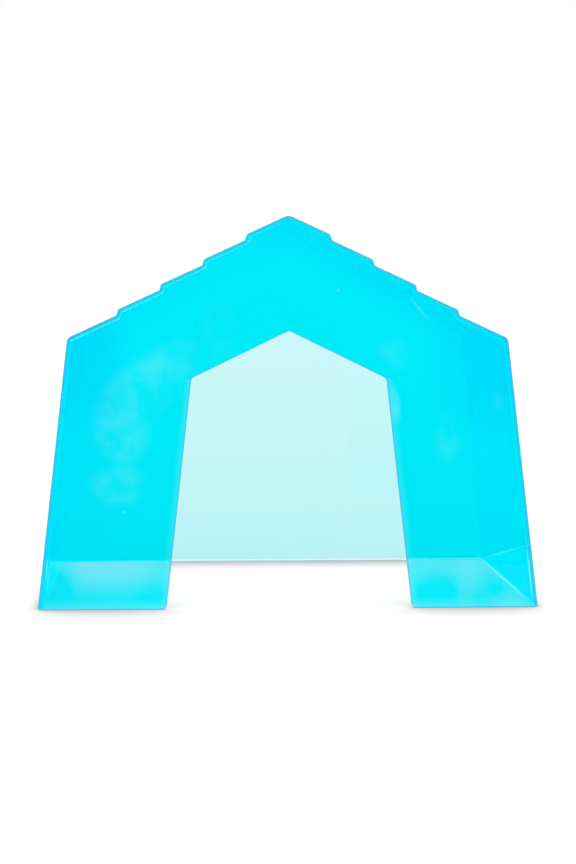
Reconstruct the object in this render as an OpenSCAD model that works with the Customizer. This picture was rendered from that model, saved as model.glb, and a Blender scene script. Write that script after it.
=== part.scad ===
// Small animal hide: one moulded shell of clear blue plastic in the form of a little house.
// It has four drafted walls, an open bottom, a gabled doorway in the front wall and a roof
// of lapped planks. +X is to the right, the doorway faces -Y, and the rim rests on Z = 0.

/* [Body] */
// Width over the side walls at the floor
base_w = 220; // [190:1:260]
// Depth over the front and back walls at the floor
base_d = 156; // [120:1:240]
// Width over the side walls where they meet the roof
eave_w = 194; // [170:1:215]
// Height at which the side walls meet the roof
eave_h = 118.2; // [100:0.1:135]
// Height of the ridge before its edge is rounded
ridge_h = 172.2; // [155:0.1:200]
// Thickness of every wall
wall = 2.2; // [1.6:0.1:3]
// Lean of the front and back walls, in degrees, which draws the shell off its core
face_draft = 4; // [1:0.5:7]

/* [Roof] */
// Spacing of the laps from the ridge down, measured level, the lowest plank takes what is left
plank_pitch = 18.8; // [14:0.1:30]
// Height by which each plank lies above the next one down
lap_h = 2.3; // [1:0.1:4]
// Slope of the short riser under each lap, in degrees
riser_slope = 76; // [60:1:88]

/* [Doorway] */
// Width of the doorway at the floor
door_foot_w = 107.7; // [90:0.1:120]
// Width of the doorway at its shoulders
door_shoulder_w = 85.7; // [60:0.1:90]
// Height of the shoulders
door_shoulder_h = 100.6; // [70:0.1:105]
// Height of the doorway's peak
door_peak_h = 121.4; // [110:0.1:130]

/* [Edges] */
// Radius along the ridge
ridge_r = 4.5; // [2:0.1:8]
// Radius along the eaves
eave_r = 3.2; // [2:0.1:6]
// Radius at the lip of each lap
lap_lip_r = 2; // [0.5:0.1:3]
// Radius at the root of each lap
lap_root_r = 0.9; // [0.3:0.1:1.5]
// Radius round the outside of the front and back walls
face_edge_r = 2.2; // [1:0.1:4]
// Radius inside the same edges
core_edge_r = 0.8; // [0.4:0.1:2]
// Radius of the rim's outer edge
rim_r = 0.7; // [0.3:0.1:0.9]
// Radius on both edges of the doorway
door_edge_r = 0.8; // [0.3:0.1:0.9]
// Radius of the doorway's shoulders
door_shoulder_r = 2.4; // [1:0.1:8]
// Radius of the doorway's peak
door_peak_r = 1.4; // [1:0.1:8]
// Radius of the legs' lower corners beside the doorway
foot_r = 2.6; // [1:0.1:6]

/* [Hidden] */

// Angle that one flat of a rounded corner may turn, in degrees, and the same for small corners
arc_step = 11;
small_arc_step = 24;
// Radius below which a corner is small
small_r = 1;
// Flats in the round of an outside edge, and of an inside or doorway edge
edge_flats = 5;
core_flats = 3;
// Smallest radius left on a corner that is moved inwards by its own radius or more
least_r = 0.25;
// How far a cutting solid runs past what it cuts
past = 3;
// How far a round runs on past the face that cuts it off, as a share of its first flat
run_on = 0.4;
// How far below the floor the doorway's foot lies, so that its corners run out at the rim
foot_drop = 0.05;
// How far the doorway's cut spreads below the floor, to leave room for the rounds of the feet
foot_spread = 3 * foot_r;
// Share of a straight edge, or of the wall, that a round at each of its two ends may take
most_round = 0.48;
// Least width of the lowest plank, as a share of the pitch
least_plank = 0.6;

laps = floor(eave_w / 2 / plank_pitch - least_plank);
lean = tan(face_draft);
face_wall = wall / cos(face_draft);
roof_slope = atan((ridge_h - eave_h - laps * lap_h) / (eave_w / 2));
rim_round = min(rim_r, wall * most_round);
door_round = min(door_edge_r, wall * most_round);

// Plane geometry in the plane of the front wall, x to the right and z up

function unit(v) = v / norm(v);
function left_of(v) = [-v[1], v[0]];
function turn(a, b) = atan2(a[0] * b[1] - a[1] * b[0], a * b);
function spun(v, angle) = [v[0] * cos(angle) - v[1] * sin(angle), v[0] * sin(angle) + v[1] * cos(angle)];

// Shift of a corner whose two edges move inwards by e1 and e2, n1 and n2 being their inward normals
function mitre(n1, n2, e1, e2) =
    [e1 * n2[1] - e2 * n1[1], e2 * n1[0] - e1 * n2[0]] / (n1[0] * n2[1] - n1[1] * n2[0]);

// A corner is [point, radius, share], where share says how much of an inset the edge after it takes.
// The corners run anticlockwise. Each edge moves inwards by its share of d, and then each corner is
// rounded by an arc that stays concentric, whichever way the corner turns.
function inset_corners(corners, d) =
    let (n = len(corners))
    [for (i = [0:n - 1])
        let (
            before = corners[(i + n - 1) % n],
            here = corners[i],
            after = corners[(i + 1) % n],
            u1 = unit(here[0] - before[0]),
            u2 = unit(after[0] - here[0])
        )
        abs(turn(u1, u2)) < 0.01
            ? here[0] + left_of(u1) * d * here[2]
            : here[0] + mitre(left_of(u1), left_of(u2), d * before[2], d * here[2])];

function rounded_outline(corners, d) =
    let (n = len(corners), at = inset_corners(corners, d))
    [for (i = [0:n - 1])
        let (
            v1 = at[i] - at[(i + n - 1) % n],
            v2 = at[(i + 1) % n] - at[i],
            phi = turn(v1, v2),
            r_here = corners[i][1],
            r_moved = max(r_here - d * sign(phi), least_r),
            r_most = most_round * min(norm(v1), norm(v2)) / tan(max(abs(phi), 0.01) / 2),
            r = min(r_moved, r_most),
            start = at[i] - unit(v1) * r * tan(abs(phi) / 2),
            centre = start + left_of(unit(v1)) * r * sign(phi),
            flats = ceil(abs(phi) / (r_here < small_r ? small_arc_step : arc_step))
        )
        each r_here == 0
            ? [at[i]]
            : [for (k = [0:flats]) centre + spun(start - centre, phi * k / flats)]];

// Corners of the shell's outline

// Riser i, counted from the eave up: its middle, then its root on the lower plank and its lip above
function riser_x(i) = plank_pitch * (laps + 1 - i);
function riser_z(i) = eave_h + (i - 0.5) * lap_h + (eave_w / 2 - riser_x(i)) * tan(roof_slope);
riser_half = lap_h / 2 / (sin(riser_slope) - cos(riser_slope) * tan(roof_slope));
riser_reach = riser_half * [cos(riser_slope), -sin(riser_slope)];

right_roof = [for (i = [1:laps]) each [
    [[riser_x(i), riser_z(i)] + riser_reach, lap_root_r, 1],
    [[riser_x(i), riser_z(i)] - riser_reach, lap_lip_r, 1]]];

// A point on the slanting line of a side wall, at height z
function side_x(z) = base_w / 2 + (eave_w - base_w) / 2 * z / eave_h;

// The same corners on the left, in the outline's order. Only the first few edges there are inset.
function mirrored(corners, inset_edges) = [for (i = [0:len(corners) - 1])
    let (c = corners[len(corners) - 1 - i]) [[-c[0][0], c[0][1]], c[1], i < inset_edges ? 1 : 0]];

// The outline of the shell with its foot at height z. The edge along the foot keeps its height.
function gable(z, corner_r) =
    let (right = concat([[[side_x(z), z], corner_r, 1], [[eave_w / 2, eave_h], eave_r, 1]], right_roof))
    concat([[[0, z], 0, 0]], right, [[[0, ridge_h], ridge_r, 1]], mirrored(right, len(right) - 1));

// The outline of the doorway, wide below the floor so that the legs' lower corners come out round
door_right = [
    [[door_foot_w / 2 + foot_spread, -past], 0, 0],
    [[door_foot_w / 2 + foot_spread, -foot_drop], 0, 0],
    [[door_foot_w / 2, -foot_drop], foot_r, 1],
    [[door_shoulder_w / 2, door_shoulder_h], door_shoulder_r, 1]];
doorway = concat([[[0, -past], 0, 0]], door_right, [[[0, door_peak_h], door_peak_r, 1]],
    mirrored(door_right, 1));

// A ring is [outline, kind, depth]: kind 1 lies that depth behind the front face, kind -1 that
// depth before the back face, and both faces lean inwards as they rise.
function ring_points(ring) = [for (p = ring[0])
    [p[0], ring[1] * (ring[2] + p[1] * lean - base_d / 2), p[1]]];

// A solid through rings of equal length. Each outline starts at the middle of its foot, from where
// all its points can be seen, so that the two end faces are fans of triangles.
module loft(rings) {
    n = len(rings[0][0]);
    last = len(rings) - 1;
    points = [for (ring = rings) each ring_points(ring)];
    front = [for (i = [1:n - 2]) [0, i + 1, i]];
    back = [for (i = [1:n - 2]) [last * n, last * n + i, last * n + i + 1]];
    sides = [for (k = [0:last - 1], i = [0:n - 1])
        let (a = k * n + i, b = k * n + (i + 1) % n)
        each [[a, b, b + n], [a, b + n, a + n]]];
    polyhedron(points = points, faces = concat(front, back, sides));
}

// Steps of a round edge of radius r, each [inset, depth], from the face to where the round ends.
// The first step runs on past the face, so that the face's own plane cuts the round off cleanly.
function edge_steps(r, flats) =
    let (steps = [for (k = [0:flats]) let (a = 90 * k / flats) [r * (1 - sin(a)), r * (1 - cos(a))]])
    concat([steps[0] + (steps[0] - steps[1]) * run_on], [for (k = [1:flats]) steps[k]]);

// How far the rim's round lifts the foot of the front and back walls at a depth from their face
function rim_lift(depth) =
    let (left = max(rim_round - max(depth, 0), 0)) rim_round - sqrt(pow(rim_round, 2) - pow(left, 2));

// The rings of one end, then the same rings mirrored to the back end
function both_ends(rings) = concat(rings,
    [for (k = [len(rings) - 1:-1:0]) [rings[k][0], -1, rings[k][2]]]);

// All that lies between the two leaning planes at a depth behind the front and back faces
module between_faces(depth) {
    top = ridge_h + past;
    foot = -2 * past;
    function face_y(z) = base_d / 2 - depth - z * lean;
    rotate([90, 0, 90])
    linear_extrude(height = base_w + 2 * past, center = true)
    polygon([[-face_y(foot), foot], [face_y(foot), foot], [face_y(top), top], [-face_y(top), top]]);
}

// The outer form, with its edges rounded
module outside() {
    intersection() {
        loft(both_ends([for (s = edge_steps(face_edge_r, edge_flats))
            [rounded_outline(gable(rim_lift(s[1]), rim_round), s[0]), 1, s[1]]]));
        between_faces(0);
    }
}

// The hollow, which follows the outer form at the wall's distance and runs out through the floor
module hollow() {
    intersection() {
        loft(both_ends([for (s = edge_steps(core_edge_r, core_flats))
            [rounded_outline(gable(-past, 0), wall + s[0]), 1, face_wall + s[1]]]));
        between_faces(face_wall);
    }
}

// The doorway, which flares at both faces of the front wall by the radius of its edges
module doorway_cut() {
    steps = edge_steps(door_round, core_flats);
    flares = concat([[steps[0][0], -past]], steps);
    loft(concat(
        [for (s = flares) [rounded_outline(doorway, -s[0]), 1, s[1]]],
        [for (k = [len(flares) - 1:-1:0]) [rounded_outline(doorway, -flares[k][0]), 1, face_wall - flares[k][1]]]));
}

module hide_shell() {
    color("#0ae2fa", 0.75)
    difference() {
        outside();
        hollow();
        doorway_cut();
    }
}

hide_shell();
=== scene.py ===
# %% [markdown]
# # A see-through hide for small animals
#
# The object is one injection-moulded shell: a little house of clear, cyan-tinted polystyrene with no floor,
# a gabled doorway in its front wall and a roof of lapped planks. It stands on its open rim.
#
# The lesson has five steps. It loads the imported solid as the fixed frame, makes a smoother mesh of the same
# form, gives it a clear plastic with the tint and the paler patches of the real one and with painted shade,
# highlights and reflection, puts it on white paper under a plain studio light, and sets the camera.

# %% Tools and the fixed frame
import math

import bpy
import numpy as np
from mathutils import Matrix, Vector


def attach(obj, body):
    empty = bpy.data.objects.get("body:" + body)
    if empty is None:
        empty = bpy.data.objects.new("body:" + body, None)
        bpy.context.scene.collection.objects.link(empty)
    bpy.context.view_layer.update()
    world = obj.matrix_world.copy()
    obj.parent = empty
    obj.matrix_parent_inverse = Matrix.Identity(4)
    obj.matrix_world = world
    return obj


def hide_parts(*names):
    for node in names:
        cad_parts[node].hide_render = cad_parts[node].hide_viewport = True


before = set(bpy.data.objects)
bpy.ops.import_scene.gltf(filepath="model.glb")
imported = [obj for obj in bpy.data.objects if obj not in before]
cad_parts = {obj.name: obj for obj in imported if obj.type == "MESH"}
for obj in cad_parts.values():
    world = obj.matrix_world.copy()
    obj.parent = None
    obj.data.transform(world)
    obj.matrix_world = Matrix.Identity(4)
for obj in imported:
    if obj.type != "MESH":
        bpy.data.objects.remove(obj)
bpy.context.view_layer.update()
NODE = "hide_shell"


def add_object(name, data):
    obj = bpy.data.objects.new(name, data)
    bpy.context.scene.collection.objects.link(obj)
    return obj


# %% [markdown]
# ## The moulded shell
#
# The real shell is what lies between a mould's cavity and its core, so its wall is the same everywhere and
# every side leans a little to let it slide off. The imported solid has that form, but its round edges are
# a few flats wide, and clear plastic shows each flat as a bright or dark line.
#
# There are three ways to make a smoother mesh. A subdivision surface would soften the crisp laps of the
# roof. A bevel modifier on the imported solid would have to find the right edges among its flats. Drawing the
# outline again with more steps in each round gives clean strips of faces where the light runs along an
# edge, so that is done here: the outline is swept from front to back into an outer and an inner form, and
# the inner form and the doorway are cut out of the outer one.
#
# The sizes are those of the solid. The width and the ridge are a hair smaller, because finer arcs bulge
# a little further than flats, and so the mesh keeps within the frame's box.

# %% Sizes of the shell, in millimetres
MM = 0.001
BASE_W, BASE_D = 219.99, 156.0
EAVE_W, EAVE_H, RIDGE_H = 194.0, 118.2, 172.18
WALL = 2.2
LEAN = math.tan(math.radians(4.0))
FACE_WALL = WALL / math.cos(math.atan(LEAN))
PLANK_PITCH, LAP_H, RISER_SLOPE = 18.8, 2.3, math.radians(76.0)
LEAST_PLANK = 0.6  # least width of the lowest plank, as a share of the pitch
LAPS = math.floor(EAVE_W / 2 / PLANK_PITCH - LEAST_PLANK)
DOOR_FOOT_W, DOOR_SHOULDER_W, DOOR_SHOULDER_H, DOOR_PEAK_H = 107.7, 85.7, 100.6, 121.4
roof_slope = math.atan((RIDGE_H - EAVE_H - LAPS * LAP_H) / (EAVE_W / 2))
print("laps a side", LAPS, "roof slope", round(math.degrees(roof_slope), 2), "degrees")

# %% Radii of its edges, in millimetres
RIDGE_R, EAVE_R, LIP_R, ROOT_R = 4.5, 3.2, 2.0, 0.9
FACE_EDGE_R, CORE_EDGE_R, RIM_R, DOOR_EDGE_R = 2.2, 0.8, 0.7, 0.8
SHOULDER_R, PEAK_R, FOOT_R, LEAST_R = 2.4, 1.4, 2.6, 0.25
ARC_STEP, SHARP = math.radians(5.0), math.radians(32.0)  # most that a flat turns, and least of a sharp edge
EDGE_FLATS, CORE_FLATS = 9, 5  # flats in the round of an outside edge, and of an inside or doorway edge
MOST_ROUND = 0.48  # share of a straight edge that the round at each of its ends may take
PAST = 3.0  # how far a cutting form runs past what it cuts
RUN_ON = 0.4  # how far the doorway's round runs on past the wall's face, as a share of its first flat
FOOT_DROP, FOOT_SPREAD = 0.05, 3 * FOOT_R  # room below the rim for the round corners of the feet
print("one flat turns", round(math.degrees(ARC_STEP), 1), "degrees at most")

# %% [markdown]
# ### Outlines
#
# Every section of the shell is the same house outline, only smaller towards the rounded front and back
# edges and inside the wall. So one function moves all edges of an outline inwards and rounds its corners,
# with arcs that share their centres however far the outline is moved.


# %% Rounded outlines, in the plane of the front wall
def unit(v):
    return v / np.linalg.norm(v)


def left_of(v):
    return np.array([-v[1], v[0]])


def turn(a, b):
    return math.atan2(a[0] * b[1] - a[1] * b[0], float(a @ b))


def spun(v, angle):
    c, s = math.cos(angle), math.sin(angle)
    return np.array([v[0] * c - v[1] * s, v[0] * s + v[1] * c])


def inset_corners(corners, d):
    """Moves each edge inwards by its share of d and gives the new corners."""
    out = []
    for i, (here, _, share) in enumerate(corners):
        before, _, share_before = corners[i - 1]
        after = corners[(i + 1) % len(corners)][0]
        n1, n2 = left_of(unit(here - before)), left_of(unit(after - here))
        cross = n1[0] * n2[1] - n1[1] * n2[0]
        e1, e2 = d * share_before, d * share
        if abs(cross) < 1e-6:
            out.append(here + n1 * e2)
        else:
            out.append(here + np.array([e1 * n2[1] - e2 * n1[1], e2 * n1[0] - e1 * n2[0]]) / cross)
    return out


def rounded_outline(corners, d):
    """The outline moved inwards by d, with each corner rounded by an arc that stays concentric."""
    at = inset_corners(corners, d)
    out = []
    for i, (_, r_here, _) in enumerate(corners):
        v1, v2 = at[i] - at[i - 1], at[(i + 1) % len(at)] - at[i]
        phi = turn(v1, v2)
        if r_here == 0:
            out.append(at[i])
            continue
        r_most = MOST_ROUND * min(np.linalg.norm(v1), np.linalg.norm(v2)) / math.tan(abs(phi) / 2)
        r = min(max(r_here - d * math.copysign(1, phi), LEAST_R), r_most)
        start = at[i] - unit(v1) * r * math.tan(abs(phi) / 2)
        centre = start + left_of(unit(v1)) * r * math.copysign(1, phi)
        flats = math.ceil(abs(phi) / ARC_STEP)
        out += [centre + spun(start - centre, phi * k / flats) for k in range(flats + 1)]
    return np.array(out)


# %% The gable's outline and the doorway's
def corner(x, z, r, share=1):
    return (np.array([x, z]), r, share)


def mirrored(corners, inset_edges):
    return [corner(-p[0], p[1], r, 1 if i < inset_edges else 0)
            for i, (p, r, _) in enumerate(reversed(corners))]


def roof_corners():
    """Each lap of the right-hand slope: its root on the plank below, then the lip of the plank above."""
    half = LAP_H / 2 / (math.sin(RISER_SLOPE) - math.cos(RISER_SLOPE) * math.tan(roof_slope))
    dx, dz = half * math.cos(RISER_SLOPE), half * math.sin(RISER_SLOPE)
    out = []
    for i in range(1, LAPS + 1):
        x = PLANK_PITCH * (LAPS + 1 - i)
        z = EAVE_H + (i - 0.5) * LAP_H + (EAVE_W / 2 - x) * math.tan(roof_slope)
        out += [corner(x + dx, z - dz, ROOT_R), corner(x - dx, z + dz, LIP_R)]
    return out


def gable(z, foot_r):
    side_x = BASE_W / 2 + (EAVE_W - BASE_W) / 2 * z / EAVE_H
    right = [corner(side_x, z, foot_r), corner(EAVE_W / 2, EAVE_H, EAVE_R)] + roof_corners()
    return [corner(0, z, 0, 0)] + right + [corner(0, RIDGE_H, RIDGE_R)] + mirrored(right, len(right) - 1)


def doorway():
    spread = DOOR_FOOT_W / 2 + FOOT_SPREAD
    right = [corner(spread, -PAST, 0, 0), corner(spread, -FOOT_DROP, 0, 0),
             corner(DOOR_FOOT_W / 2, -FOOT_DROP, FOOT_R),
             corner(DOOR_SHOULDER_W / 2, DOOR_SHOULDER_H, SHOULDER_R)]
    return [corner(0, -PAST, 0, 0)] + right + [corner(0, DOOR_PEAK_H, PEAK_R)] + mirrored(right, 1)


print("points round the gable", len(rounded_outline(gable(0, RIM_R), 0)))

# %% [markdown]
# ### Sweeping and cutting
#
# The front and back walls lean inwards like the sides of a mould's core, so each ring of points is laid on
# a leaning plane. The rounds along the front and back edges are rings that shrink in steps of equal angle.
# Cutting is left to an exact Boolean, which gives clean borders where the doorway leaves the wall. Weighted
# normals then keep the flat walls flat right up to their rounded edges, as they are on the real piece.

# %% Sweeping outlines into solids
def edge_steps(r, flats):
    """Steps of a round edge, each [inset, depth], from the face to where the round ends."""
    return [np.array([r * (1 - math.sin(a)), r * (1 - math.cos(a))])
            for a in np.linspace(0, math.pi / 2, flats + 1)]


def rim_lift(depth):
    """How far the rim's round lifts the foot of the front and back walls at a depth behind their face."""
    gap = max(RIM_R - max(depth, 0), 0)
    return RIM_R - math.sqrt(RIM_R ** 2 - gap ** 2)


def ring_points(outline, side, depth):
    """The outline laid on a plane that leans with the front wall (side 1) or the back wall (side -1)."""
    y = side * (depth + outline[:, 1] * LEAN - BASE_D / 2)
    return np.column_stack([outline[:, 0], y, outline[:, 1]]) * MM


def both_ends(rings):
    return [(o, 1, d) for o, d in rings] + [(o, -1, d) for o, d in reversed(rings)]


def loft(name, rings):
    """A closed mesh through rings of equal length."""
    n = len(rings[0][0])
    points = np.vstack([ring_points(*ring) for ring in rings])
    faces = [tuple(range(n))] + [tuple(range(len(points) - 1, len(points) - n - 1, -1))]
    for k in range(len(rings) - 1):
        for i in range(n):
            a, b = k * n + i, k * n + (i + 1) % n
            faces.append((a, a + n, b + n, b))
    mesh = bpy.data.meshes.new(name)
    mesh.from_pydata(points.tolist(), [], faces)
    mesh.validate()
    return add_object(name, mesh)


# %% The outer form, the hollow and the doorway
shell = loft(NODE + "_clear", both_ends([
    (rounded_outline(gable(rim_lift(depth), RIM_R), inset), depth)
    for inset, depth in edge_steps(FACE_EDGE_R, EDGE_FLATS)]))
hollow = loft("hollow", both_ends([
    (rounded_outline(gable(-PAST, 0), WALL + inset), FACE_WALL + depth)
    for inset, depth in edge_steps(CORE_EDGE_R, CORE_FLATS)]))
steps = edge_steps(DOOR_EDGE_R, CORE_FLATS)
steps[0] = steps[0] + (steps[0] - steps[1]) * RUN_ON
flares = [(rounded_outline(doorway(), -inset), depth)
          for inset, depth in [(steps[0][0], -PAST)] + steps]
door_cut = loft("door_cut", [(outline, 1, depth) for outline, depth in flares]
                + [(outline, 1, FACE_WALL - depth) for outline, depth in reversed(flares)])
print("faces before cutting", [len(obj.data.polygons) for obj in (shell, hollow, door_cut)])

# %% Cutting the hollow and the doorway out
def cut(body, tool):
    """Cuts the tool out of the body for good, and removes the tool."""
    mod = body.modifiers.new(tool.name, "BOOLEAN")
    mod.operation, mod.solver, mod.object = "DIFFERENCE", "EXACT", tool
    bpy.context.view_layer.update()
    mesh = bpy.data.meshes.new_from_object(body.evaluated_get(bpy.context.evaluated_depsgraph_get()))
    body.modifiers.clear()
    body.data = mesh
    bpy.data.objects.remove(tool)


for tool in (hollow, door_cut):
    cut(shell, tool)
for polygon in shell.data.polygons:
    polygon.use_smooth = True
shell.data.set_sharp_from_angle(angle=SHARP)
shell.modifiers.new("even_flats", "WEIGHTED_NORMAL").keep_sharp = True
print("faces of the shell", len(shell.data.polygons))
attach(shell, "root")
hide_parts(NODE)

# %% [markdown]
# ## Tinted polystyrene, moulded
#
# Clear polystyrene comes out of a polished mould as smooth as glass, so its walls have no grain and no
# roughness of their own. Only the rounded edge of the front wall is a little satin, which spreads the
# softbox's reflection there into one even line. What the eye gets is the tint, which deepens wherever two
# walls lie behind each other, the bright or dark lines along rounded edges, and faint paler patches. The
# front wall's tint also carries painted shade, painted highlights and a painted reflection.
#
# The tint is a base colour on a fully transmitting surface. A volume would colour by thickness, but the
# wall is even, so the surface does the same without noise. Each of a wall's two faces takes its share.
#
# The index of refraction starts at polystyrene's 1.59. With it, the thin edges turned almost black and the
# walls mirrored more of the room than the photograph shows, so it is lowered to 1.3.

# %% Colours and nodes
def linear(hex_colour):
    """An sRGB hex colour as linear RGBA."""
    parts = [int(hex_colour[i:i + 2], 16) / 255 for i in (1, 3, 5)]
    return tuple(c / 12.92 if c <= 0.04045 else ((c + 0.055) / 1.055) ** 2.4 for c in parts) + (1.0,)


def add_node(tree, kind, settings=None, **inputs):
    """Adds a node, sets its properties, and sets or links inputs by name, or by index as i0, i1, ...

    A node that is given as an input stands for its first output.
    """
    node = tree.nodes.new(kind)
    for key, value in (settings or {}).items():
        setattr(node, key, value)
    for key, value in inputs.items():
        by_index = key[0] == "i" and key[1:].isdigit()
        socket = node.inputs[int(key[1:])] if by_index else node.inputs[key.replace("_", " ")]
        if isinstance(value, bpy.types.Node):
            value = value.outputs[0]
        if isinstance(value, bpy.types.NodeSocket):
            tree.links.new(value, socket)
        else:
            socket.default_value = value
    return node


def all_of(tree, operation, parts):
    """Joins any number of values by the same operation."""
    total = parts[0]
    for part in parts[1:]:
        total = add_node(tree, "ShaderNodeMath", operation, i0=total, i1=part)
    return total


def ramp(start, end, at_start=0.0, at_end=1.0):
    """The numbers of a Map Range node: where it starts and ends, and what it gives there."""
    return {"From_Min": start, "From_Max": end, "To_Min": at_start, "To_Max": at_end}


def ramp_mm(start, end, at_start=0.0, at_end=1.0):
    """The same, with its start and end in millimetres."""
    return ramp(start * MM, end * MM, at_start, at_end)


def new_material(name):
    material = bpy.data.materials.new(name)
    material.use_nodes = True
    material.node_tree.nodes.clear()
    return material


SMOOTH, COLOURS, CLAMPED = {"interpolation_type": "SMOOTHSTEP"}, {"data_type": "RGBA"}, {"use_clamp": True}
TIMES, PLUS, MINUS, MOST, LEAST = (
    {"operation": name} for name in ("MULTIPLY", "ADD", "SUBTRACT", "MAXIMUM", "MINIMUM"))
TIMES_PLUS, UNSIGNED, BELOW = ({"operation": name} for name in ("MULTIPLY_ADD", "ABSOLUTE", "LESS_THAN"))
TINT = linear("#00F2FF")
print("deep tint", [round(c, 3) for c in TINT])

# %% [markdown]
# ### Where the tint changes
#
# In the photograph the back wall, seen through the doorway, is much paler than the front, and the front
# wall's foot is paler than the rest of it; that paler foot is a painted reflection. Both are masks over one
# tint, made from the place on the object in metres, so each follows its own leaning wall. A mask is whole at
# one of its two ends and gone at the other.
#
# Edges differ too. The light that comes out of the rounded edge of the front wall has run a long way inside
# the tinted plastic, so its green is deeper, and the outermost hair of it loses some blue as well, which
# draws a thin dark outline. How far the surface faces straight ahead, from 0 to 1, tells where on the round
# a point lies. The lowest edge of the pale wall and of the sides is nearly clear, because light from the
# white ground enters there.

# %% Masks of the walls
HALF_D = BASE_D / 2
WALL_ENDS, SKIN_ENDS = (2.6, 4.0), (1.9, 2.2)  # depths behind the face, in millimetres
RIM_ENDS, FOOT_ENDS, FOOT_TILT = (0.5, 1.1), (20.9, 21.7), -0.0033  # heights, and the tilt of the line where the painted reflection in the foot ends
ROUND_ENDS, TURNED_ENDS, LINE_ENDS = (0.980, 0.997), (0.60, 0.98), (0.55, 0.82)  # how far it faces ahead
EDGE_GREEN, EDGE_BLUE = (0.20, 0.30), 0.5  # green lost round the edge, and most of the blue in its last hair
plastic = new_material("tinted_polystyrene")
tree = plastic.node_tree
coordinates = add_node(tree, "ShaderNodeTexCoord")
place = coordinates.outputs["Object"]
axes = add_node(tree, "ShaderNodeSeparateXYZ", Vector=place)
x, y, z = (axes.outputs[name] for name in "XYZ")
to_front = add_node(tree, "ShaderNodeMath", TIMES_PLUS, i0=z, i1=-LEAN, i2=y)
to_back = add_node(tree, "ShaderNodeMath", TIMES_PLUS, i0=z, i1=LEAN, i2=y)
front = add_node(tree, "ShaderNodeMapRange", SMOOTH, Value=to_front,
                 **ramp_mm(*(depth - HALF_D for depth in WALL_ENDS), 1, 0))
back = add_node(tree, "ShaderNodeMapRange", SMOOTH, Value=to_back,
                **ramp_mm(*(HALF_D - depth for depth in reversed(WALL_ENDS))))
rim = add_node(tree, "ShaderNodeMapRange", SMOOTH, Value=z, **ramp_mm(*RIM_ENDS, 1, 0))
# Below this line the front wall's foot is painted paler, a painted reflection.
foot_line = add_node(tree, "ShaderNodeMath", TIMES_PLUS, i0=x, i1=FOOT_TILT, i2=z)
foot = add_node(tree, "ShaderNodeMapRange", SMOOTH, Value=foot_line, **ramp_mm(*FOOT_ENDS, 1, 0))
normal = add_node(tree, "ShaderNodeSeparateXYZ", Vector=coordinates.outputs["Normal"])
ahead = add_node(tree, "ShaderNodeMath", UNSIGNED, i0=normal.outputs["Y"])
rounded = add_node(tree, "ShaderNodeMapRange", SMOOTH, Value=ahead, **ramp(*ROUND_ENDS, 1, 0))
skin = add_node(tree, "ShaderNodeMapRange", SMOOTH, Value=to_front,
                **ramp_mm(*(depth - HALF_D for depth in SKIN_ENDS), 1, 0))
turned = add_node(tree, "ShaderNodeMapRange", Value=ahead, **ramp(*TURNED_ENDS, *EDGE_GREEN))
thin_line = add_node(tree, "ShaderNodeMapRange", Value=ahead, **ramp(*LINE_ENDS, EDGE_BLUE, 0))
print("masks: front, back, rim, foot, rounded edge, its skin, thin line")

# %% [markdown]
# ### Pale patches, and a painted reflection and painted highlights
#
# The photograph shows the front wall paler in places: one large patch down the left leg, smaller ones
# beside the doorway's peak and on the right leg, a short scuff and a few specks. Listed patches put them
# where they are, and a noise with features of about 14 mm breaks their outlines. Each patch is [x, z, half
# width, half height, tilt, level] in millimetres and degrees. A level is the share of red light that a mark
# adds.
#
# The paler foot is a painted reflection, with paler and darker smudges in it. Thin pale lines across the
# foot are painted highlights, and the painted reflection of the right foot ends at the slanting one. Narrow
# painted highlights also follow the doorway's upright edges and the rim. Everything but the highlight lines
# across the foot stops short of the side walls.

# %% Patches of haze
PATCHES = [
    [-63, 97, 12, 27, 52, 0.062], [-73, 79, 12, 17, 0, 0.060], [-75, 54, 12, 9, 0, 0.072],
    [-31, 121, 8, 14, 0, 0.016], [48, 111, 9, 6, 30, 0.034], [46, 89, 3.2, 9, -6, 0.100],
    [70, 74, 6, 11, 0, 0.026], [93, 91, 3.5, 5, -20, 0.040], [57.5, 131.1, 0.8, 7, -41, 0.055],
    [21.7, 139.3, 0.7, 0.7, 0, 0.160], [-79.6, 71.6, 0.7, 0.7, 0, 0.200],
    [-72.3, 42.4, 0.7, 0.7, 0, 0.200], [72, 78.7, 0.6, 0.6, 0, 0.160]]
# Paler and darker smudges in the painted reflection of the foot.
FOOT_PATCHES = [
    [-80, 19, 22, 11, 0, 0.080], [-105, 10, 11, 18, 20, -0.100], [-59, 7, 11, 6, 0, -0.018],
    [65, 9, 10.5, 8, 0, -0.045], [78.3, 12, 4.6, 15, 0, 0.040], [91, 10, 5, 8, -30, -0.040],
    [97, 3, 9, 5, 0, 0.060]]
# Painted highlight lines across the foot.
HIGHLIGHT_LINES = [
    [95.2, 12.0, 0.7, 15, -48.8, 0.20], [95, 24.2, 0.6, 9.5, 74.8, 0.16],
    [106.0, 14.2, 0.6, 9.5, -6.1, 0.06], [-105.5, 15.5, 0.7, 6, 1, 0.05]]
PATCH_ENDS, ANY_DEPTH = (0.35, 1.25), 1000  # where a patch is whole and gone, in its own radii
CLOUD_SIZE, CLOUD_DETAIL, CLOUD_ROUGHNESS = 14.3, 4.0, 0.62
BREAKUP = (0.38, 0.64, 0.10, 1.35)  # from and to in the noise, and the shares of a patch left there
CLIMB = (3, 22, -0.01, 0.085)  # heights in the foot, and the levels of its painted reflection there
FOOT_CLOUD = 0.05  # how much the noise adds to the painted reflection in the foot


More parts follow.
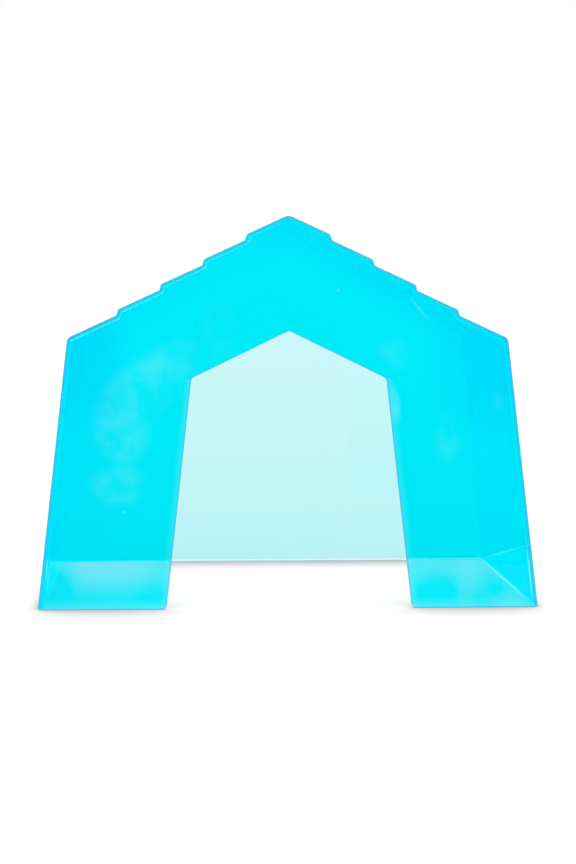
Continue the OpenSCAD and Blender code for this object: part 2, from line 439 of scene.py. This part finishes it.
def patch(tree, place, spot):
    """A soft ellipse on the front wall, whatever the depth."""
    cx, cz, half_w, half_h, tilt, level = spot
    local = add_node(tree, "ShaderNodeMapping", {"vector_type": "TEXTURE"}, Vector=place,
                     Location=(cx * MM, 0, cz * MM), Rotation=(0, math.radians(tilt), 0),
                     Scale=(half_w * MM, ANY_DEPTH, half_h * MM))
    away = add_node(tree, "ShaderNodeVectorMath", {"operation": "LENGTH"}, i0=local)
    return add_node(tree, "ShaderNodeMapRange", SMOOTH, Value=away.outputs["Value"],
                    **ramp(*PATCH_ENDS, level, 0))


cloud = add_node(tree, "ShaderNodeTexNoise", Vector=place, Scale=1 / (CLOUD_SIZE * MM),
                 Detail=CLOUD_DETAIL, Roughness=CLOUD_ROUGHNESS)
breakup = add_node(tree, "ShaderNodeMapRange", SMOOTH, Value=cloud, **ramp(*BREAKUP))
hand = all_of(tree, MOST, [patch(tree, place, spot) for spot in PATCHES])
pale_marks = all_of(tree, TIMES, [hand, breakup])
# The painted reflection in the foot climbs from nothing near the rim, with smudges and noise in it.
climb = add_node(tree, "ShaderNodeMapRange", SMOOTH, Value=z, **ramp_mm(*CLIMB))
foot_hand = all_of(tree, PLUS, [climb] + [patch(tree, place, spot) for spot in FOOT_PATCHES])
foot_reflection = add_node(tree, "ShaderNodeMath", TIMES_PLUS | CLAMPED, i0=cloud, i1=FOOT_CLOUD, i2=foot_hand)
# Painted highlight lines across the foot.
highlight_lines = all_of(tree, MOST, [patch(tree, place, spot) for spot in HIGHLIGHT_LINES])
print("patches on the front wall", len(PATCHES), "in its foot", len(FOOT_PATCHES), "highlight_lines", len(HIGHLIGHT_LINES))

# %% Where the pale marks and the painted light end
SLANT_SLOPE, SLANT_AT, SLANT_SOFT = 0.874, 95.2, 0.5
# Painted highlights follow the doorway's upright edges and the rim.
INSIDE_ENDS, RIM_HIGHLIGHT_ENDS, DOOR_HIGHLIGHT_W = (2.4, 3.6), (1.0, 2.6), 3.6
DOOR_HIGHLIGHT, RIM_HIGHLIGHT = 0.055, 0.045
side_gap = add_node(tree, "ShaderNodeMath", TIMES_PLUS, i0=z, i1=(EAVE_W - BASE_W) / 2 / EAVE_H,
                    i2=BASE_W / 2 * MM)
off_middle = add_node(tree, "ShaderNodeMath", UNSIGNED, i0=x)
from_side = all_of(tree, MINUS, [side_gap, off_middle])
inside = add_node(tree, "ShaderNodeMapRange", SMOOTH, Value=from_side, **ramp_mm(*INSIDE_ENDS))
# The painted reflection of the right foot ends at this slanting line.
slant_line = add_node(tree, "ShaderNodeMath", TIMES_PLUS, i0=x, i1=SLANT_SLOPE, i2=z)
before_slant = add_node(tree, "ShaderNodeMapRange", SMOOTH, Value=slant_line,
                       **ramp_mm(SLANT_AT - SLANT_SOFT, SLANT_AT + SLANT_SOFT, 1, 0))
# Painted highlight along the doorway's upright edges below the shoulder, and along the rim.
door_line = add_node(tree, "ShaderNodeMath", TIMES_PLUS, i0=z,
                     i1=(DOOR_FOOT_W - DOOR_SHOULDER_W) / 2 / DOOR_SHOULDER_H, i2=off_middle)
by_door = add_node(tree, "ShaderNodeMapRange", SMOOTH, Value=door_line,
                   **ramp_mm(DOOR_FOOT_W / 2, DOOR_FOOT_W / 2 + DOOR_HIGHLIGHT_W, DOOR_HIGHLIGHT, 0))
below_shoulder = add_node(tree, "ShaderNodeMath", BELOW, i0=z, i1=DOOR_SHOULDER_H * MM)
door_highlight = all_of(tree, TIMES, [by_door, below_shoulder])
rim_highlight = add_node(tree, "ShaderNodeMapRange", SMOOTH, Value=z, **ramp_mm(*RIM_HIGHLIGHT_ENDS, RIM_HIGHLIGHT, 0))
# The pale patches, the painted reflection and the painted highlights end at the side walls and the slanting
# line.
print("haze ends at the side walls and the fold, and follows the doorway and the rim")

# %% [markdown]
# ### Painted shade
#
# The front wall has painted shade. Its green is a little deeper towards both eaves, under the right-hand
# slope and along the corners where it meets the side walls. Each zone is a soft mask and a level that
# changes along it. The level is the share of green that the tint loses there.

# %% Painted shade zones of the front wall
RIGHT_SLOPE_X = 27  # where the painted shade under the right-hand slope has its middle
roof_line = add_node(tree, "ShaderNodeMath", TIMES_PLUS, i0=off_middle,
                     i1=(RIDGE_H - EAVE_H) / (EAVE_W / 2), i2=z)
along_roof = add_node(tree, "ShaderNodeMath", MINUS, i0=x, i1=RIGHT_SLOPE_X * MM)
from_slope = add_node(tree, "ShaderNodeMath", UNSIGNED, i0=along_roof)
# A zone's mask and its level, each as [value, start, end, at the start, at the end], in millimetres
# Painted shade: each zone takes some green out of the front wall's tint.
SHADE_ZONES = {
    "left eave": ([x, -84, -66, 1, 0], [z, 70, 100, 0.025, 0.100]),
    "right eave": ([x, 56, 84, 0, 1], [z, 70, 100, 0, 0.080]),
    "right slope": ([roof_line, 150, 166, 0, 1], [from_slope, 30, 50, 0.050, 0.015]),
    "corners": ([from_side, 2.0, 3.2, 1, 0], [x, -20, 20, 0.030, 0.100])}
shade_losses = []
for rows in SHADE_ZONES.values():
    parts = [add_node(tree, "ShaderNodeMapRange", SMOOTH, Value=row[0], **ramp_mm(*row[1:])) for row in rows]
    shade_losses.append(all_of(tree, TIMES, parts + [front]))
painted_shade = all_of(tree, PLUS, shade_losses)
print("deeper zones:", ", ".join(SHADE_ZONES))

# %% The front wall's tint
LINE_GREEN, HIGHLIGHT_GREEN = 0.7, 0.5  # green lost where blue is lost, and green gained where a painted highlight line adds red
# The painted reflection in the foot, the pale patches and the painted highlights together give the front
# wall's red.
in_foot = all_of(tree, TIMES, [foot, before_slant, foot_reflection])
either = all_of(tree, MOST, [pale_marks, in_foot])
with_edges = all_of(tree, PLUS, [either, door_highlight, rim_highlight])
patches_and_painted_light = all_of(tree, TIMES, [with_edges, inside, front])
front_highlight_lines = all_of(tree, TIMES, [highlight_lines, front])
red = all_of(tree, MOST, [patches_and_painted_light, front_highlight_lines])
on_edge = all_of(tree, TIMES, [rounded, skin])
edge_green = all_of(tree, TIMES, [turned, on_edge])
edge_blue = all_of(tree, TIMES, [thin_line, skin])
line_green = add_node(tree, "ShaderNodeMath", TIMES, i0=edge_blue, i1=LINE_GREEN)
lost_green = all_of(tree, PLUS, [painted_shade, edge_green, line_green])
green_with_highlights = add_node(tree, "ShaderNodeMath", TIMES_PLUS, i0=front_highlight_lines, i1=HIGHLIGHT_GREEN, i2=TINT[1])
green = add_node(tree, "ShaderNodeMath", MINUS | CLAMPED, i0=green_with_highlights, i1=lost_green)
blue = add_node(tree, "ShaderNodeMath", MINUS | CLAMPED, i0=TINT[2], i1=edge_blue)
front_tint = add_node(tree, "ShaderNodeCombineColor", Red=red, Green=green, Blue=blue)
print("the front wall's red is its haze, and its green and blue fall along the edge")

# %% The other walls and the surface
PALE_LOW, PALE_HIGH, CLEAR_RIM = linear("#BDF4F7"), linear("#CCF9FB"), linear("#E6FDFF")
HEIGHT_ENDS, SATIN = (20, 110), 0.2
height = add_node(tree, "ShaderNodeMapRange", Value=z, **ramp_mm(*HEIGHT_ENDS))
back_tint = add_node(tree, "ShaderNodeMix", COLOURS, i0=height, i6=PALE_LOW, i7=PALE_HIGH)
walls = add_node(tree, "ShaderNodeMix", COLOURS, i0=back, i6=front_tint, i7=back_tint.outputs[2])
other_rims = add_node(tree, "ShaderNodeMath", MINUS | CLAMPED, i0=rim, i1=front)
tinted = add_node(tree, "ShaderNodeMix", COLOURS, i0=other_rims, i6=walls.outputs[2], i7=CLEAR_RIM)
satin = add_node(tree, "ShaderNodeMath", TIMES, i0=on_edge, i1=SATIN)
body = add_node(tree, "ShaderNodeBsdfPrincipled", Base_Color=tinted.outputs[2], Roughness=satin, IOR=1.3,
                Transmission_Weight=1.0)
add_node(tree, "ShaderNodeOutputMaterial", Surface=body)
shell.data.materials.clear()
shell.data.materials.append(plastic)
print("nodes in the plastic", len(tree.nodes))

# %% [markdown]
# ## Paper and studio
#
# The photograph has a white ground without a horizon and a soft shadow only where the rim meets it. So the
# floor is a large sheet of matt paper that glows at the level of the sky, darkened close to the shell by
# ambient occlusion. Along the feet that shade is wide, and beside the walls it is narrow.
#
# A reflection is told from a refraction by two marks of the ray, because a refracted ray counts as glossy
# too. Behind the camera there is a dark opening, as in a studio, and the sheet ends in front of it. Without
# them the flat front wall would mirror white and lose its deep colour.

# %% Floor
FLOOR_HALF, FLOOR_DROP = 40.0, 0.00005
floor_mesh = bpy.data.meshes.new("studio_floor")
floor_mesh.from_pydata([(sx * FLOOR_HALF, sy * FLOOR_HALF, -FLOOR_DROP)
                        for sx, sy in ((-1, -1), (1, -1), (1, 1), (-1, 1))], [], [(0, 1, 2, 3)])
floor = add_object("studio_floor", floor_mesh)
paper = new_material("white_paper")
floor_mesh.materials.append(paper)
print("floor at", -FLOOR_DROP)


# %% Shade and glow of the paper
def reflected(tree, ray):
    """1 for a ray that was reflected last, 0 for a refracted or direct one."""
    return add_node(tree, "ShaderNodeMath", MINUS | CLAMPED,
                    i0=ray.outputs["Is Glossy Ray"], i1=ray.outputs["Is Transmission Ray"])


WIDE_SHADE, TIGHT_SHADE, SIDE_ENDS = 0.035, 0.006, (0.107, 0.112)
SHEET_ENDS, BESIDE_ENDS, BESIDE_SLOPE = (-0.35, -0.25), (0.10, 0.20), 0.3
REFRACTED_GLOW, MATT_SHARE, DIRECT_SHARE = 0.80, 0.20, 0.08
tree = paper.node_tree
ray = add_node(tree, "ShaderNodeLightPath")
floor_place = add_node(tree, "ShaderNodeTexCoord").outputs["Object"]
floor_axes = add_node(tree, "ShaderNodeSeparateXYZ", Vector=floor_place)
off_centre = add_node(tree, "ShaderNodeMath", UNSIGNED, i0=floor_axes.outputs["X"])
beyond = add_node(tree, "ShaderNodeMapRange", SMOOTH, Value=off_centre, **ramp(*SIDE_ENDS))
wide, tight = (add_node(tree, "ShaderNodeAmbientOcclusion", {"samples": 16}, Distance=reach)
               for reach in (WIDE_SHADE, TIGHT_SHADE))
wide_kept = all_of(tree, MOST, [wide.outputs["AO"], beyond])
shade = all_of(tree, LEAST, [wide_kept, tight.outputs["AO"]])
seen = all_of(tree, TIMES, [ray.outputs["Is Camera Ray"], shade])
sheet = add_node(tree, "ShaderNodeMapRange", Value=floor_axes.outputs["Y"], **ramp(*SHEET_ENDS))
to_side = add_node(tree, "ShaderNodeMath", TIMES_PLUS, i0=floor_axes.outputs["Y"], i1=BESIDE_SLOPE,
                   i2=off_centre)
beside = add_node(tree, "ShaderNodeMapRange", SMOOTH, Value=to_side, **ramp(*BESIDE_ENDS))
paper_seen = all_of(tree, MOST, [sheet, beside])
mirrored_sheet = all_of(tree, TIMES, [reflected(tree, ray), paper_seen])
direct = all_of(tree, MOST, [ray.outputs["Is Camera Ray"], mirrored_sheet])
lit = all_of(tree, MOST, [seen, mirrored_sheet])
level = add_node(tree, "ShaderNodeMath", TIMES_PLUS, i0=ray.outputs["Is Transmission Ray"],
                 i1=REFRACTED_GLOW, i2=lit)
glow = add_node(tree, "ShaderNodeEmission", Color=(1, 1, 1, 1), Strength=level)
share = add_node(tree, "ShaderNodeMapRange", Value=direct, **ramp(0, 1, MATT_SHARE, DIRECT_SHARE))
matt = add_node(tree, "ShaderNodeBsdfDiffuse", Color=share)
both = add_node(tree, "ShaderNodeAddShader", i0=glow, i1=matt)
add_node(tree, "ShaderNodeOutputMaterial", Surface=both)
print("nodes in the paper", len(tree.nodes))

# %% [markdown]
# ### Sky and softbox
#
# The sky is an even white of strength 1, so a colour renders about as it is written. Reflections see less:
# the dark opening, only as large as what the front wall mirrors in the photograph, and round it the front
# half of the room at a quarter of the sky's strength. Behind the shell the room is white for them too.
#
# One small softbox high at the left gives the fine bright line along the left roof edge. Light that is
# caught inside a thin wall bounces there dozens of times before it gets out. A path that ends earlier leaves
# a black dash along an edge, so the limit on bounces is high.

# %% World
OPENING_X, OPENING_Z, OPENING_HEIGHT = (0.20, 0.30), (0.16, 0.24), 0.10  # parts of a unit direction
ROOM_DARK, ROOM_ENDS = 0.75, (0.0, 0.6)
world = bpy.data.worlds.new("studio")
bpy.context.scene.world = world
world.use_nodes = True
tree = world.node_tree
tree.nodes.clear()
ray = add_node(tree, "ShaderNodeLightPath")
towards = add_node(tree, "ShaderNodeTexCoord").outputs["Generated"]
heading = add_node(tree, "ShaderNodeSeparateXYZ", Vector=towards)
sideways = add_node(tree, "ShaderNodeMath", UNSIGNED, i0=heading.outputs["X"])
above = add_node(tree, "ShaderNodeMath", MINUS, i0=heading.outputs["Z"], i1=OPENING_HEIGHT)
updown = add_node(tree, "ShaderNodeMath", UNSIGNED, i0=above)
in_x = add_node(tree, "ShaderNodeMapRange", SMOOTH, Value=sideways, **ramp(*OPENING_X, 1, 0))
in_z = add_node(tree, "ShaderNodeMapRange", SMOOTH, Value=updown, **ramp(*OPENING_Z, 1, 0))
in_y = add_node(tree, "ShaderNodeMath", BELOW, i0=heading.outputs["Y"], i1=0.0)
mirrored_ray = reflected(tree, ray)
opening = all_of(tree, TIMES, [in_x, in_z, in_y, mirrored_ray])
behind = add_node(tree, "ShaderNodeMapRange", SMOOTH, Value=heading.outputs["Y"],
                  **ramp(*ROOM_ENDS, ROOM_DARK, 0))
room = all_of(tree, TIMES, [behind, mirrored_ray])
darker = all_of(tree, MOST, [room, opening])
strength = add_node(tree, "ShaderNodeMath", MINUS, i0=1.0, i1=darker)
sky = add_node(tree, "ShaderNodeBackground", Color=(1, 1, 1, 1), Strength=strength)
add_node(tree, "ShaderNodeOutputWorld", Surface=sky)
print("nodes in the sky", len(tree.nodes))

# %% Softbox
LAMP_AT, LAMP_AIM = Vector((-0.39, -1.33, 0.71)), Vector((0, -0.078, 0.10))
LAMP_W, LAMP_H, RADIANCE, BOUNCES = 0.36, 0.48, 8, 160
lamp = bpy.data.lights.new("key", "AREA")
lamp.shape, lamp.size, lamp.size_y = "RECTANGLE", LAMP_W, LAMP_H
lamp.energy = RADIANCE * math.pi * LAMP_W * LAMP_H
key = add_object("key", lamp)
key.location = LAMP_AT
key.rotation_euler = (LAMP_AIM - LAMP_AT).to_track_quat("-Z", "Y").to_euler()
for limit in ("max_bounces", "glossy_bounces", "transmission_bounces"):
    setattr(bpy.context.scene.cycles, limit, BOUNCES)
print("softbox", round(lamp.energy, 2), "W")

# %% [markdown]
# ## Camera
#
# The camera stands a little left of the middle and just above the eaves, looking slightly down. Its place
# and focal length come from fitting the corners of the front wall and the lower edge of the back wall.

# %% Camera
YAW, PITCH, ROLL = 0.0531, 0.07175, 0.0017
FOCAL_PX, LONG_SIDE_PX, SENSOR_MM = 1967.6, 864, 36.0
CAMERA_AT = (-0.0462, -0.93107, 0.13901)
camera = bpy.data.cameras.new("camera")
camera.sensor_fit = "AUTO"
camera.sensor_width = SENSOR_MM
camera.lens = FOCAL_PX * SENSOR_MM / LONG_SIDE_PX
camera.clip_start, camera.clip_end = 0.01, 50
view = add_object("camera", camera)
view.location = CAMERA_AT
view.rotation_euler = (math.pi / 2 - PITCH, 0.0, -YAW)
view.rotation_euler.rotate_axis("Z", ROLL)
bpy.context.scene.camera = view
bpy.context.scene.view_settings.view_transform = "Standard"
print("lens", round(camera.lens, 1), "mm")
